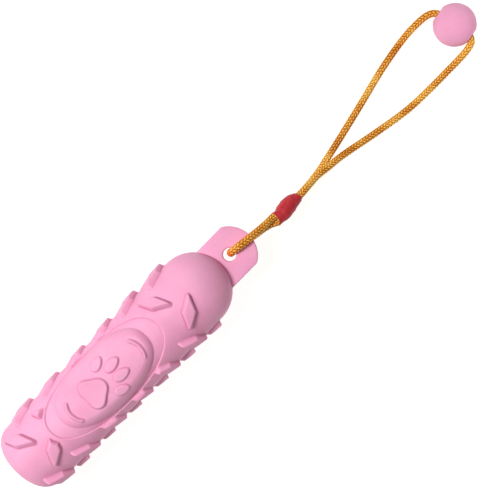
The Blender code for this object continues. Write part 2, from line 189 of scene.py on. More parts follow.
# Toggle ball
BALL_CENTRE = (317.0, 0.2, 15.0)
BALL_R = 15.0
BORE_R = 2.9
BORE_ROUND = 3.0
BORE_AXIS = (-0.178, 0.984, 0.0)
BALL_SIDES = 112
BALL_RINGS = 64
BORE_STEPS = 10
BALL_LINE_RISE = 0.07
BALL_LINE_WIDTH = 0.22

# Colours, with the painted shade that darkens the rubber at the foot of a fold and the painted
# highlight that lightens its crest
PINK = (0.935, 0.405, 0.62)
FOOT_PAINTED_SHADE = (0.60, 0.34, 0.42)
CREST_PAINTED_HIGHLIGHT = (1.04, 1.16, 1.10)
# painted warm light for the cord in the eyelet
EYELET_PAINTED_LIGHT = (0.90, 0.16, 0.012)
WORLD_COLOUR = (1.0, 0.82, 0.70, 1.0)
WORLD_STRENGTH = 0.06

# Stage, in metres
FLOOR_REACH = 30.0
LIGHTS = (               # name, place, aim, size, watts, spread in degrees
    ("overhead", (0.10, 0.02, 1.15), (0.10, 0.0, 0.0), 0.7, 1.9, 180.0),
    ("key", (-0.30, 0.43, 1.16), (0.0, 0.0, 0.03), 0.40, 12.6, 180.0),
    ("low_key", (-0.28, 0.42, 0.50), (-0.06, 0.0, 0.03), 0.22, 0.06, 60.0),
    ("ball_side", (0.47, -0.12, 0.24), (0.317, 0.0, 0.015), 0.12, 0.018, 40.0),
)


# ---------------------------------------------------------------- helpers

def link(item):
    bpy.context.scene.collection.objects.link(item)
    return item


def mesh_object(name, points, faces):
    """A smooth mesh object from points in millimetres."""
    mesh = bpy.data.meshes.new(name)
    mesh.from_pydata((np.asarray(points) * MM).tolist(), [], faces)
    mesh.validate()
    mesh.shade_smooth()
    return link(bpy.data.objects.new(name, mesh))


def add_values(item, name, values):
    """Give each point of a mesh a number that its material can read."""
    layer = item.data.attributes.new(name, "FLOAT", "POINT")
    layer.data.foreach_set("value", values.astype(np.float32))


def ring_faces(rings, sides, wrap_rings=False):
    """Quads between closed rings of equal size, stored one after another."""
    ring = np.arange(rings if wrap_rings else rings - 1)[:, None]
    side = np.arange(sides)[None, :]
    after = (side + 1) % sides
    above = (ring + 1) % rings
    quads = np.stack([ring * sides + side, ring * sides + after,
                      above * sides + after, above * sides + side], axis=-1)
    return quads.reshape(-1, 4).tolist()


def step_down(distance, width):
    """1 inside an outline, 0 outside, with a smooth edge of that width."""
    share = np.clip(0.5 - distance / width, 0.0, 1.0)
    return share * share * (3.0 - 2.0 * share)


def apply_modifiers(item):
    """Bake the stack into the mesh."""
    graph = bpy.context.evaluated_depsgraph_get()
    mesh = bpy.data.meshes.new_from_object(item.evaluated_get(graph))
    item.modifiers.clear()
    item.data = mesh


# ---------------------------------------------------------------- camera

def add_camera():
    data = bpy.data.cameras.new("camera")
    data.lens = LENS_MM
    data.sensor_width = 36.0
    data.clip_start = 0.01
    camera = link(bpy.data.objects.new("camera", data))
    camera.location = Vector(EYE) * MM
    camera.rotation_euler = (0.0, 0.0, math.radians(EYE_ROLL_DEG))
    bpy.context.scene.camera = camera


# ---------------------------------------------------------------- cord

def smooth_route(points, samples):
    """Read points from a centripetal Catmull-Rom curve through the route."""
    route = [np.array(point) for point in points]
    route = [2 * route[0] - route[1]] + route + [2 * route[-1] - route[-2]]
    result = []
    for index in range(1, len(route) - 2):
        p0, p1, p2, p3 = route[index - 1:index + 3]
        t1 = np.linalg.norm(p1 - p0) ** 0.5
        t2 = t1 + np.linalg.norm(p2 - p1) ** 0.5
        t3 = t2 + np.linalg.norm(p3 - p2) ** 0.5
        for step in range(samples):
            t = t1 + (t2 - t1) * step / samples
            a1 = (t1 - t) / t1 * p0 + t / t1 * p1
            a2 = (t2 - t) / (t2 - t1) * p1 + (t - t1) / (t2 - t1) * p2
            a3 = (t3 - t) / (t3 - t2) * p2 + (t - t2) / (t3 - t2) * p3
            b1 = (t2 - t) / t2 * a1 + t / t2 * a2
            b2 = (t3 - t) / (t3 - t1) * a2 + (t - t1) / (t3 - t1) * a3
            result.append((t2 - t) / (t2 - t1) * b1 + (t - t1) / (t2 - t1) * b2)
    result.append(route[-2])
    return np.array(result)


def evenly(line, step):
    """The line again, with points about step apart, and their distances along it."""
    along = np.concatenate([[0.0], np.cumsum(np.linalg.norm(np.diff(line, axis=0), axis=1))])
    at = np.linspace(0.0, along[-1], int(round(along[-1] / step)) + 1)
    return np.stack([np.interp(at, along, line[:, k]) for k in range(3)], axis=1), at


def carried_frames(line):
    """Tangents and two normals along a line, turned no more than the line turns."""
    tangent = np.gradient(line, axis=0)
    tangent /= np.linalg.norm(tangent, axis=1)[:, None]
    normal = np.zeros_like(line)
    first = np.cross(tangent[0], (0.0, 0.0, 1.0))
    normal[0] = first / np.linalg.norm(first)
    for index in range(1, len(line)):
        kept = normal[index - 1] - tangent[index] * normal[index - 1].dot(tangent[index])
        normal[index] = kept / np.linalg.norm(kept)
    return tangent, normal, np.cross(tangent, normal)


def braid_surface(along, turn):
    """Radius of the braid at a distance along it and a turn from 0 to 1 round it,
    with the place across and along the strand that is on top, and its height."""
    plus = (turn + along / BRAID_LAY) * BRAID_CARRIERS
    minus = (turn - along / BRAID_LAY) * BRAID_CARRIERS
    found = []
    for own, other, sign in ((minus, plus, 1.0), (plus, minus, -1.0)):
        strand = np.round(own)
        across = 2.0 * (own - strand)
        wave = sign * np.sin(0.5 * math.pi * (other + strand + 0.5))
        wave = np.sign(wave) * np.abs(wave) ** BRAID_WAVE_POWER
        crown = np.sqrt(np.clip(1.0 - 0.92 * across ** 2, 0.0, 1.0))
        height = BRAID_WAVE * wave + BRAID_STRAND * (crown - 1.0)
        found.append((height, across, other, wave))
    first = found[0][0] >= found[1][0]
    height = np.where(first, found[0][0], found[1][0])
    across = np.where(first, found[0][1], found[1][1])
    lengthways = np.where(first, found[0][2], found[1][2] + 100.0)
    wave = np.where(first, found[0][3], found[1][3])
    return BRAID_MEAN_R + height, across, lengthways, wave


def build_cord():
    """The braided cord as one closed tube, with its braid in the mesh."""
    line, along = evenly(smooth_route(CORD_ROUTE, CORD_SAMPLES), BRAID_STEP)
    _, normal, side = carried_frames(line)
    turn = np.arange(BRAID_SIDES) / BRAID_SIDES
    radius, across, lengthways, wave = braid_surface(along[:, None], turn[None, :])
    swell, swell_x, swell_reach = CORD_SWELL
    near_tab = np.exp(-((line[:, 0] - swell_x) / swell_reach) ** 4)
    radius *= (1.0 + swell * near_tab)[:, None]
    # how near the eyelet each ring is, for the painted warm light there
    from_eyelet = np.hypot(line[:, 0] - EYELET_X, line[:, 2] - AXIS_Z)
    in_eyelet = np.exp(-(from_eyelet / EYELET_PAINTED_LIGHT_REACH) ** 6)
    eyelet_painted_light = np.repeat(in_eyelet[:, None], BRAID_SIDES, axis=1)
    angle = 2.0 * math.pi * turn[None, :, None]
    out = normal[:, None, :] * np.cos(angle) + side[:, None, :] * np.sin(angle)
    points = (line[:, None, :] + out * radius[:, :, None]).reshape(-1, 3)
    faces = ring_faces(len(line), BRAID_SIDES)
    last = (len(line) - 1) * BRAID_SIDES
    faces.append(list(range(BRAID_SIDES))[::-1])
    faces.append(list(range(last, last + BRAID_SIDES)))
    cord = mesh_object("braided_throw_cord", points, faces)
    for name, values in (("across", across), ("lengthways", lengthways), ("lift", wave),
                         ("eyelet_painted_light", eyelet_painted_light)):
        add_values(cord, name, values.reshape(-1))
    return cord, line


# ---------------------------------------------------------------- bumper body

def rhombus_distance(u, v, half_long, half_short, rounding):
    """Signed distance to a rhombus with rounded tips, its long diagonal along u."""
    inset = half_long * half_short / math.hypot(half_long, half_short)
    shrink = 1.0 - rounding / inset
    a, b = half_long * shrink, half_short * shrink
    u, v = np.abs(u), np.abs(v)
    share = np.clip((a * (a - 2.0 * u) - b * (b - 2.0 * v)) / (a * a + b * b), -1.0, 1.0)
    gap = np.hypot(u - 0.5 * a * (1.0 - share), v - 0.5 * b * (1.0 + share))
    return gap * np.sign(u * b + v * a - a * b) - rounding


def medal_across(y, z):
    """Distance across the medallion, which sits turned a little round the body."""
    return y * math.cos(MEDAL_TURN) - np.abs(z) * math.sin(MEDAL_TURN)


def oval_distance(x, across, semi):
    """About the signed distance to a medallion oval."""
    a, b = semi
    n = MEDAL_POWER
    u, v = np.abs(x - MEDAL_X) / a, np.abs(across) / b
    level = u ** n + v ** n
    slope = n * np.hypot(u ** (n - 1.0) / a, v ** (n - 1.0) / b)
    q = level ** (1.0 / n)
    return (q - 1.0) * n * level / (q * np.maximum(slope, 1e-5) + 1e-9)


def solve_radius(level, low, high):
    """The radius where level(radius), which falls, meets the radius itself."""
    for _ in range(SOLVE_STEPS):
        middle = 0.5 * (low + high)
        above = level(middle) > middle
        low = np.where(above, middle, low)
        high = np.where(above, high, middle)
    return 0.5 * (low + high)


def toe_distance(x, y, toe):
    """About the signed distance to an egg-shaped toe pad."""
    tx, ty, half_long, half_wide, turn = toe
    spin = math.radians(turn)
    dx, dy = x - MEDAL_X - tx, y - ty
    along = dx * math.cos(spin) + dy * math.sin(spin)
    across = -dx * math.sin(spin) + dy * math.cos(spin)
    width = half_wide * (1.0 - TOE_TAPER * np.clip(along / half_long, -1.0, 1.0))
    q = np.sqrt((along / half_long) ** 2 + (across / width) ** 2)
    slope = np.sqrt((along / half_long ** 2) ** 2 + (across / width ** 2) ** 2)
    return q * (q - 1.0) / np.maximum(slope, 1e-6)


def main_pad_distance(x, y):
    """About the signed distance to the three-lobed main pad."""
    px, half_long, half_wide = PAW_PAD
    dx, dy = x - MEDAL_X - px, y
    angle = np.arctan2(dy / half_wide, dx / half_long)
    lobe = PAW_PAD_LOBE * np.cos(3.0 * angle)
    reach = np.hypot((half_long + lobe) * np.cos(angle), (half_wide + lobe) * np.sin(angle))
    return PAW_PAD_SLOPE * (np.hypot(dx, dy) - reach)


def end_rib_distance(x, y, direction):
    """Signed distance to the curved rib at one end of the oval."""
    dx = (x - MEDAL_X) * direction - (END_RIB_REACH - END_RIB_R)
    half = 0.5 * END_RIB_WIDTH
    middle_r = END_RIB_R - half
    angle = np.clip(np.arctan2(y, dx), -math.radians(END_RIB_HALF_DEG),
                    math.radians(END_RIB_HALF_DEG))
    return np.hypot(dx - middle_r * np.cos(angle), y - middle_r * np.sin(angle)) - half


def medallion_height(x, y):
    """Height over the body's axis of the medallion: a shallow recess round a domed panel."""
    y2 = y * y
    height = np.sqrt(np.maximum(BODY_R ** 2 - y2, 1.0))
    across = medal_across(y, height)
    recess = np.sqrt(np.maximum(RECESS_R ** 2 - y2, 1.0))
    height += (recess - height) * step_down(oval_distance(x, across, MEDAL_OUTER), RECESS_EDGE)
    panel = PANEL_TOP - PANEL_R + np.sqrt(PANEL_R ** 2 - y2)
    crest = oval_distance(x, across, MEDAL_CREST)
    foot = oval_distance(x, across, MEDAL_FOOT)
    share = np.clip(crest / np.maximum(crest - foot, 0.1), 0.0, 1.0)
    height += (panel - height) * (1.0 - share ** PANEL_POWER)
    follows = [toe_distance(x, y, toe) for toe in PAW_TOES]
    follows += [end_rib_distance(x, y, direction) for direction in (-1, 1)]
    pads = [(distance, panel + EMBLEM_RISE) for distance in follows]
    pads.append((main_pad_distance(x, y), AXIS_Z))
    for distance, top in pads:
        height += (top - height) * step_down(distance + 0.25 * EMBLEM_EDGE, EMBLEM_EDGE)
    return height


def stud_places():
    """(x, angle, lean) of each stud whose middle is clear of the medallions."""
    places = []
    for column in range(STUD_COLUMNS):
        turn = math.radians(FIRST_COLUMN_DEG + 360.0 / STUD_COLUMNS * column)
        lean = 1 if column % 2 == 0 else -1
        first = LEAN_PLUS_X if lean > 0 else LEAN_MINUS_X
        for row in range(STUD_ROWS):
            x = first - STUD_PITCH * row
            across = medal_across(STUD_TOP * math.sin(turn), STUD_TOP * math.cos(turn))
            if oval_distance(x, across, MEDAL_OUTER) > STUD_OFF_MEDAL:
                places.append((x, turn, lean))
    return places


def stud_top(x):
    """Distance of the studs' tops from the axis."""
    return np.minimum(STUD_TOP + STUD_RISE_PER_MM2 * (x - STUD_LOW_X) ** 2, STUD_TOP_MAX)


def taper(x):
    """What the barrel's slight taper adds to the radius."""
    return TAPER * (np.clip(x, BASE_X, DOME_X) - TAPER_FROM_X)


def body_rings():
    """(x, radius) of each ring of the plain turned body, without its poles."""
    base = np.linspace(0.0, 0.5 * math.pi, BASE_RINGS)[1:]
    blunt = 2.0 / BASE_ROUND
    dome = np.linspace(0.5 * math.pi, 0.0, DOME_RINGS)[:-1]
    barrel = np.linspace(BASE_X, DOME_X, int((DOME_X - BASE_X) / RING_STEP))[1:-1]
    x = np.concatenate([BASE_X - BASE_REACH * np.clip(np.cos(base), 0.0, 1.0) ** blunt, barrel,
                        DOME_X + BODY_R * np.cos(dome)])
    radius = np.concatenate([BODY_R * np.sin(base) ** blunt, np.full(len(barrel), BODY_R),
                             BODY_R * np.sin(dome)])
    return x, radius * (1.0 + taper(x) / BODY_R)


def body_columns():
    """Angles round the body, closer together at the parting line."""
    plain = np.linspace(0.0, 2.0 * math.pi, COLUMNS, endpoint=False)
    near = np.array(PARTING_COLUMNS) / BODY_R
    lines = np.concatenate([0.5 * math.pi + near, 1.5 * math.pi + near])
    gap = np.abs(plain[:, None] - np.array([0.5 * math.pi, 1.5 * math.pi])[None, :]).min(axis=1)
    return np.sort(np.concatenate([plain[gap > PARTING_GAP / BODY_R], lines]))


def raise_studs(radius, base, x, theta):
    """Raise each stud's prism, whose walls stand square to its own middle."""
    for stud_x, angle, lean in stud_places():
        delta = (theta - angle + math.pi) % (2.0 * math.pi) - math.pi
        rows = np.flatnonzero(np.abs(x - stud_x) < STUD_NEAR)
        columns = np.flatnonzero(np.abs(delta) < math.radians(STUD_NEAR_DEG))
        at = np.ix_(rows, columns)
        u = (x[rows] - stud_x)[:, None]
        d = delta[columns][None, :]
        low = base[at]
        top = np.broadcast_to(stud_top(x[rows])[:, None], low.shape)
        turn = math.radians(STUD_TURN) * lean

        def level(r):
            v = r * np.sin(d)
            along = u * math.cos(turn) + v * math.sin(turn)
            across = v * math.cos(turn) - u * math.sin(turn)
            edge = rhombus_distance(along, across, 0.5 * STUD_LONG, 0.5 * STUD_SHORT, STUD_TIP_R)
            medal = medal_across(STUD_TOP * np.sin(d + angle), STUD_TOP * np.cos(d + angle))
            beside = np.clip(np.abs(medal) / MEDAL_OUTER[1], 0.0, 1.0) ** 2
            off_oval = oval_distance(x[rows][:, None], medal, MEDAL_OUTER)
            clear = STUD_CLEARANCE * (1.0 - 0.5 * beside) - off_oval
            return low + (top - low) * step_down(np.maximum(edge, clear), STUD_EDGE)

        radius[at] = np.maximum(radius[at], solve_radius(level, low - 0.01, top + 0.01))


def sink_medallions(radius, x, theta):
    """Form both medallions, the lower one a mirror image of the upper."""
    rows = np.flatnonzero(np.abs(x - MEDAL_X) < MEDAL_OUTER[0] + 2.0)
    for side in (1.0, -1.0):
        columns = np.flatnonzero(np.cos(theta) * side > math.cos(math.radians(MEDAL_HALF_DEG)))
        at = np.ix_(rows, columns)
        sine = np.sin(theta[columns])[None, :]
        cosine = np.abs(np.cos(theta[columns]))[None, :]
        here = x[rows][:, None]
        low = np.full(radius[at].shape, MEDAL_SEARCH[0])

        def level(r):
            return medallion_height(here, np.clip(r * sine, -MEDAL_MAX_Y, MEDAL_MAX_Y)) / cosine

        solved = solve_radius(level, low, low + MEDAL_SEARCH[1])
        edge = oval_distance(here, medal_across(solved * sine, solved * cosine), MEDAL_OUTER)
        outside = np.clip(edge / MEDAL_BLEND, 0.0, 1.0)
        outside = outside * outside * (3.0 - 2.0 * outside)
        radius[at] = solved + (radius[at] - solved) * outside


def fold_shade_and_highlight(relief, x, theta):
    """How sharply the surface folds up (foot of a wall) or down (its crest), as masks for painted
    shade at the feet and a painted highlight on the crests.
    """
    along = np.gradient(np.gradient(relief, x, axis=0), x, axis=0)
    arc = BODY_R * np.diff(theta, append=theta[0] + 2.0 * math.pi)
    step = (np.roll(relief, -1, axis=1) - relief) / arc
    round_it = (step - np.roll(step, 1, axis=1)) / (0.5 * (arc + np.roll(arc, 1)))
    fold = along + round_it
    fold = 0.5 * fold + 0.25 * (np.roll(fold, 1, axis=1) + np.roll(fold, -1, axis=1))
    return np.clip(fold / FOOT_FOLD, 0.0, 1.0), np.clip(-fold / CREST_FOLD, 0.0, 1.0)


def build_barrel():
    """Barrel, dome, base, studs and medallions in one closed mesh."""
    x, plain = body_rings()
    theta = body_columns()
    base = np.repeat(plain[:, None], len(theta), axis=1)
    radius = base.copy()
    raise_studs(radius, base, x, theta)
    sink_medallions(radius, x, theta)
    foot, crest = fold_shade_and_highlight(radius - base, x, theta)
    quarter = 0.5 * math.pi
    from_line = np.abs(((theta - quarter) % math.pi + quarter) % math.pi - quarter)
    radius += PARTING_RISE * np.exp(-(from_line * BODY_R / PARTING_WIDTH) ** 2)[None, :]
    points = np.stack([np.repeat(x[:, None], len(theta), axis=1),
                       radius * np.sin(theta)[None, :],
                       AXIS_Z + radius * np.cos(theta)[None, :]], axis=-1).reshape(-1, 3)
    sides = len(theta)
    faces = ring_faces(len(x), sides)
    first, last = len(points), len(points) + 1
    poles = [[BASE_X - BASE_REACH, 0.0, AXIS_Z], [DOME_X + BODY_R, 0.0, AXIS_Z]]
    points = np.vstack([points, poles])
    start = (len(x) - 1) * sides
    for side in range(sides):
        after = (side + 1) % sides
        faces.append([after, side, first])
        faces.append([start + side, start + after, last])
    barrel = mesh_object("bumper_moulding", points, faces)
    # foot and crest go to the material: painted shade at the feet of walls, painted highlight on
    # crests
    for name, values in (("foot", foot), ("crest", crest)):
        add_values(barrel, name, np.append(values.reshape(-1), (0.0, 0.0)))
    busy = (foot > 0.01) | (crest > 0.01)
    for _ in range(BAND_CELLS):
        busy |= np.roll(busy, 1, axis=1) | np.roll(busy, -1, axis=1)
        busy[1:] |= busy[:-1]
        busy[:-1] |= busy[1:]
    plain_group = barrel.vertex_groups.new(name="plain")
    plain_group.add(np.flatnonzero(~busy.reshape(-1)).tolist(), 1.0, "REPLACE")
    thin = barrel.modifiers.new("thin", "DECIMATE")
    thin.vertex_group = "plain"
    thin.vertex_group_factor = 1000.0
    thin.ratio = BODY_FACES / (2.0 * len(faces))
    apply_modifiers(barrel)
    return barrel, (x, theta, radius, grid_normals(points[:-2].reshape(len(x), sides, 3)))


def grid_normals(points):
    """Outward normals of the fine grid the barrel was made from."""
    along = np.gradient(points, axis=0)
    round_it = np.roll(points, -1, axis=1) - np.roll(points, 1, axis=1)
    normals = np.cross(round_it, along)
    normals /= np.linalg.norm(normals, axis=2, keepdims=True)
    outward = (normals[:, :, 1:] * (points[:, :, 1:] - (0.0, AXIS_Z))).sum()
    return normals if outward > 0.0 else -normals


def grid_lookup(values, x, theta, at_x, at_theta):
    """Values of the fine grid, which wraps round, blended at other places."""
    row = np.clip(np.searchsorted(x, at_x) - 1, 0, len(x) - 2)
    along = np.clip((at_x - x[row]) / (x[row + 1] - x[row]), 0.0, 1.0)
    column = np.searchsorted(theta, at_theta) - 1
    after = (column + 1) % len(theta)
    gap = (theta[after] - theta[column]) % (2.0 * math.pi)
    round_it = np.clip(((at_theta - theta[column]) % (2.0 * math.pi)) / gap, 0.0, 1.0)
    if values.ndim == 3:
        along, round_it = along[:, None], round_it[:, None]
    near = values[row, column] * (1.0 - round_it) + values[row, after] * round_it
    far = values[row + 1, column] * (1.0 - round_it) + values[row + 1, after] * round_it
    return near * (1.0 - along) + far * along


def shade_from_grid(mesh, grid):
    """Give the thinned barrel the fine grid's normals, so it shades smoothly."""
    x, theta, radius, normals = grid

    def spots(points):
        points = points.reshape(-1, 3) / MM - (0.0, 0.0, AXIS_Z)
        return points[:, 0], np.arctan2(points[:, 1], points[:, 2]) % (2.0 * math.pi), points

    def numbers(items, name, width):
        values = np.empty(len(items) * width, np.float32)
        items.foreach_get(name, values)
        return values.astype(float)

    vertex = numbers(mesh.vertices, "co", 3).reshape(-1, 3)
    corner_vertex = np.empty(len(mesh.loops), np.int32)
    mesh.loops.foreach_get("vertex_index", corner_vertex)
    face_of_corner = np.repeat(np.arange(len(mesh.polygons)),
                               numbers(mesh.polygons, "loop_total", 1).astype(int))
    own = numbers(mesh.corner_normals, "vector", 3).reshape(-1, 3)
    face_x, face_theta, face_point = spots(numbers(mesh.polygons, "center", 3))
    depth = np.hypot(face_point[:, 1], face_point[:, 2])
    depth -= grid_lookup(radius, x, theta, face_x, face_theta)
    inside = (face_x > x[0] + SHADE_MARGIN) & (face_x < x[-1] - SHADE_MARGIN)
    on_barrel = (np.abs(depth) < SHADE_DEPTH) & inside
    at_x, at_theta, _ = spots(vertex[corner_vertex])
    fine = grid_lookup(normals, x, theta, at_x, at_theta)
    fine /= np.linalg.norm(fine, axis=1, keepdims=True)
    agrees = (fine * own).sum(axis=1) > SHADE_AGREES
    use = on_barrel[face_of_corner] & agrees
    own[use] = fine[use]
    mesh.normals_split_custom_set(own.tolist())


def tab_reach(angle, inset):
    """Distance from the eyelet's middle to the tab's outline at each angle."""
    half = TAB_HALF_WIDTH - inset
    corner_r = TAB_CORNER_R - inset
    arc_x = TAB_END_X - TAB_END_R
    corner_y = TAB_HALF_WIDTH - TAB_CORNER_R
    corner_x = arc_x + math.sqrt((TAB_END_R - TAB_CORNER_R) ** 2 - corner_y ** 2)
    join = math.asin(corner_y / (TAB_END_R - TAB_CORNER_R))
    outline = [(TAB_ROOT_X, 0.0), (TAB_ROOT_X, half)]
    for share in np.linspace(0.0, 1.0, 13):
        turn = 0.5 * math.pi - (0.5 * math.pi - join) * share
        outline.append((corner_x + corner_r * math.cos(turn), corner_y + corner_r * math.sin(turn)))
    for share in np.linspace(0.0, 1.0, 25)[1:]:
        turn = join * (1.0 - share)
        outline.append((arc_x + (TAB_END_R - inset) * math.cos(turn),
                        (TAB_END_R - inset) * math.sin(turn)))
    outline = np.array(outline) - (EYELET_X, 0.0)
    reach = []
    for turn in np.abs(angle):
        direction = np.array([math.cos(turn), math.sin(turn)])
        side = outline[:, 0] * direction[1] - outline[:, 1] * direction[0]
        for index in range(len(outline) - 1):
            a, b = side[index], side[index + 1]
            if a * b <= 0.0 and a != b:
                point = outline[index] + (outline[index + 1] - outline[index]) * a / (a - b)
                if point.dot(direction) > 0.0:
                    reach.append(point.dot(direction))
                    break
    return np.array(reach)


def build_tab():
    """The flat tab with rounded edges and its eyelet, root inside the dome."""
    corner = math.atan2(TAB_HALF_WIDTH, TAB_ROOT_X - EYELET_X)
    half = np.concatenate([np.linspace(0.0, corner, 74)[:-1], np.linspace(corner, math.pi, 15)])
    angle = np.concatenate([half, -half[1:-1][::-1]])
    half_thick = 0.5 * TAB_THICK
    hole, rim = [], []
    for share in np.linspace(0.0, 0.5 * math.pi, 7):
        hole.append((half_thick - EYELET_ROUND * (1.0 - math.sin(share)),
                     EYELET_R + EYELET_ROUND * (1.0 - math.cos(share))))
        rim.append((half_thick - TAB_EDGE_R * (1.0 - math.cos(share)),
                    TAB_EDGE_R * (1.0 - math.sin(share))))
    rings, rim_insets = [], []
    directions = np.stack([np.cos(angle), np.sin(angle)], axis=1)

    def add(height, reach, inset=TAB_EDGE_R):
        rim_insets.append(inset)
        flat = directions * reach[:, None]
        rings.append(np.column_stack([flat[:, 0] + EYELET_X, flat[:, 1],
                                      np.full(len(angle), AXIS_Z + height)]))

    even = np.ones(len(angle))
    outer_top = tab_reach(angle, TAB_EDGE_R)
    for height, radius in hole:
        add(height, even * radius)
    for share in (0.12, 0.5):
        add(half_thick, even * hole[-1][1] * (1.0 - share) + outer_top * share)
    for height, inset in rim:
        add(height, tab_reach(angle, inset), inset)
    for height, inset in rim[::-1]:
        add(-height, tab_reach(angle, inset), inset)
    for share in (0.5, 0.12):
        add(-half_thick, even * hole[-1][1] * (1.0 - share) + outer_top * share)
    for height, radius in hole[::-1]:
        add(-height, even * radius)
    points = np.vstack(rings)
    tab = mesh_object("tab_guide", points, ring_faces(len(rings), len(angle), wrap_rings=True))
    # foot darkens the tab's rounded rim and the eyelet's bore: painted shade
    from_eyelet = np.hypot(points[:, 0] - EYELET_X, points[:, 1]) - EYELET_R
    from_rim = np.concatenate([reach * np.ones(len(angle)) for reach in rim_insets])
    from_edge = np.minimum(from_eyelet / EYELET_ROUND, from_rim / TAB_EDGE_R)
    add_values(tab, "foot", np.clip(1.0 - from_edge, 0.0, 1.0))
    return tab


def build_bumper():
    """The one-piece moulding."""
    body, grid = build_barrel()
    tab = build_tab()
    for item in (body, tab):
        work = bmesh.new()
        work.from_mesh(item.data)
        bmesh.ops.recalc_face_normals(work, faces=work.faces)
        work.to_mesh(item.data)
        work.free()
    union = body.modifiers.new("tab", "BOOLEAN")
    union.object = tab
    union.operation = "UNION"
    union.solver = "EXACT"
    apply_modifiers(body)
    bpy.data.objects.remove(tab)
    body.data.shade_smooth()
    body.data.set_sharp_from_angle(angle=math.radians(SHARP_DEG))
    shade_from_grid(body.data, grid)
    return body


# ---------------------------------------------------------------- sleeve and whipping

def sleeve_axes():
    """Start, direction, sideways and upward axes of the sleeve, and its length."""
    start, end = np.array(SLEEVE_START), np.array(SLEEVE_END)
    length = np.linalg.norm(end - start)
    along = (end - start) / length
    sideways = np.cross((0.0, 0.0, 1.0), along)
    sideways /= np.linalg.norm(sideways)
    return start, along, sideways, np.cross(along, sideways), length


def strand_centres(line, station):
    """Where the cord crosses the sleeve's plane at a station, in that plane."""
    start, along, sideways, upward, _ = sleeve_axes()
    local = line - start
    ahead = local @ along - station
    across = np.stack([local @ sideways, local @ upward], axis=1)
    centres = []
    for index in np.flatnonzero(ahead[:-1] * ahead[1:] <= 0.0):
        share = ahead[index] / (ahead[index] - ahead[index + 1])
        point = across[index] + (across[index + 1] - across[index]) * share
        if np.linalg.norm(point) < STRAND_NEAR:
            centres.append(point)
    return centres


def bundle_radius(line, stations, angles, offset):
    """Radius about the sleeve's axis of the taut outline round the strands."""
    result = []
    fine = np.linspace(-math.pi, math.pi, 361)
    directions = np.stack([np.cos(fine), np.sin(fine)], axis=1)
    for station in stations:
        centres = np.array(strand_centres(line, station))
        furthest = centres[(directions @ centres.T).argmax(axis=1)]
        ring = furthest + directions * (0.5 * CORD_D + offset)
        at = np.unwrap(np.arctan2(ring[:, 1], ring[:, 0]))
        order = np.argsort(at)
        result.append(np.interp(angles, at[order], np.hypot(*ring.T)[order], period=2.0 * math.pi))
    return np.array(result)


def spread_out(values, reach):
    """The largest value within reach rows."""
    padded = np.pad(values, ((reach, reach), (0, 0)), mode="edge")
    return np.max([padded[k:k + len(values)] for k in range(2 * reach + 1)], axis=0)


def soften(values, reach):
    """A running average over reach rows on each side."""
    padded = np.pad(values, ((reach, reach), (0, 0)), mode="edge")
    return np.mean([padded[k:k + len(values)] for k in range(2 * reach + 1)], axis=0)


def around_sleeve(stations, angles, radius):
    """Points in space from stations, angles and radii about the sleeve's axis."""
    start, along, sideways, upward, _ = sleeve_axes()
    return (start + stations[:, None] * along
            + (radius * np.cos(angles))[:, None] * sideways
            + (radius * np.sin(angles))[:, None] * upward)


def sleeve_outside(line, stations, angles):
    """Outer radius of the shrunk sleeve, taut over the strands and the whipping."""
    length = sleeve_axes()[4]
    share = stations / length
    left, right, up, down = (np.interp(share, SLEEVE_SHARES, reach)[:, None]
                             for reach in (SLEEVE_LEFT, SLEEVE_RIGHT, SLEEVE_UP, SLEEVE_DOWN))
    cosine, sine = np.cos(angles)[None, :], np.sin(angles)[None, :]
    wide = np.where(cosine > 0.0, left, right)
    high = np.where(sine > 0.0, up, down)
    loose = soften(1.0 / np.hypot(cosine / wide, sine / high), 2)
    whip = step_down(np.abs(stations - 0.5 * length) - WHIP_HALF - 0.8, 2.4)[:, None]
    taut = bundle_radius(line, stations, angles, SKIN_GAP + SLEEVE_WALL) + WHIP_LIFT * whip
    taut = soften(spread_out(taut, 2), 3)
    radius = 0.5 * (loose + taut + np.sqrt((loose - taut) ** 2 + 0.09))
    s = stations[:, None]
    turn = angles[None, :]
    folds = np.sin(3.0 * turn + 0.9 * s) * np.exp(-((s - 2.6) / 1.5) ** 2)
    folds += 0.7 * np.sin(4.0 * turn - 0.7 * s + 1.0) * np.exp(-((s - length + 2.4) / 1.6) ** 2)
    ripple = np.sin(1.3 * s + 2.0 * np.sin(turn + 0.6)) * np.sin(2.0 * turn + 0.4 * s)
    return radius + 0.07 * folds + 0.05 * ripple


def build_sleeve(line):
    """The red shrink sleeve, open at both ends, with rounded rims."""
    length = sleeve_axes()[4]
    stations = np.linspace(0.0, length, int(length / SLEEVE_STEP) + 1)
    angles = np.linspace(0.0, 2.0 * math.pi, SLEEVE_SIDES, endpoint=False)
    outside = sleeve_outside(line, stations, angles)
    half = 0.5 * SLEEVE_WALL
    slant = 0.35 * np.sin(angles + 0.8)
    rings = []
    for index, station in enumerate(stations):
        rings.append((np.full(SLEEVE_SIDES, station), outside[index]))
    for turn in (0.25, 0.5, 0.75):
        rings.append((length + half * math.sin(math.pi * turn) + 0.0 * angles,
                      outside[-1] - half * (1.0 - math.cos(math.pi * turn))))
    for index in range(len(stations) - 1, -1, -1):
        rings.append((np.full(SLEEVE_SIDES, stations[index]), outside[index] - SLEEVE_WALL))
    for turn in (0.25, 0.5, 0.75):
        rings.append((-half * math.sin(math.pi * turn) + 0.0 * angles,
                      outside[0] - SLEEVE_WALL + half * (1.0 - math.cos(math.pi * turn))))
    points = []
    for place, radius in rings:
        near_start = slant * step_down(place - 1.0, 3.0)
        near_end = slant * step_down(length - place - 1.0, 3.0) * 0.6
        points.append(around_sleeve(place + (near_start - near_end), angles, radius))
    return mesh_object("shrunk_sleeve", np.vstack(points),
                       ring_faces(len(rings), SLEEVE_SIDES, wrap_rings=True))


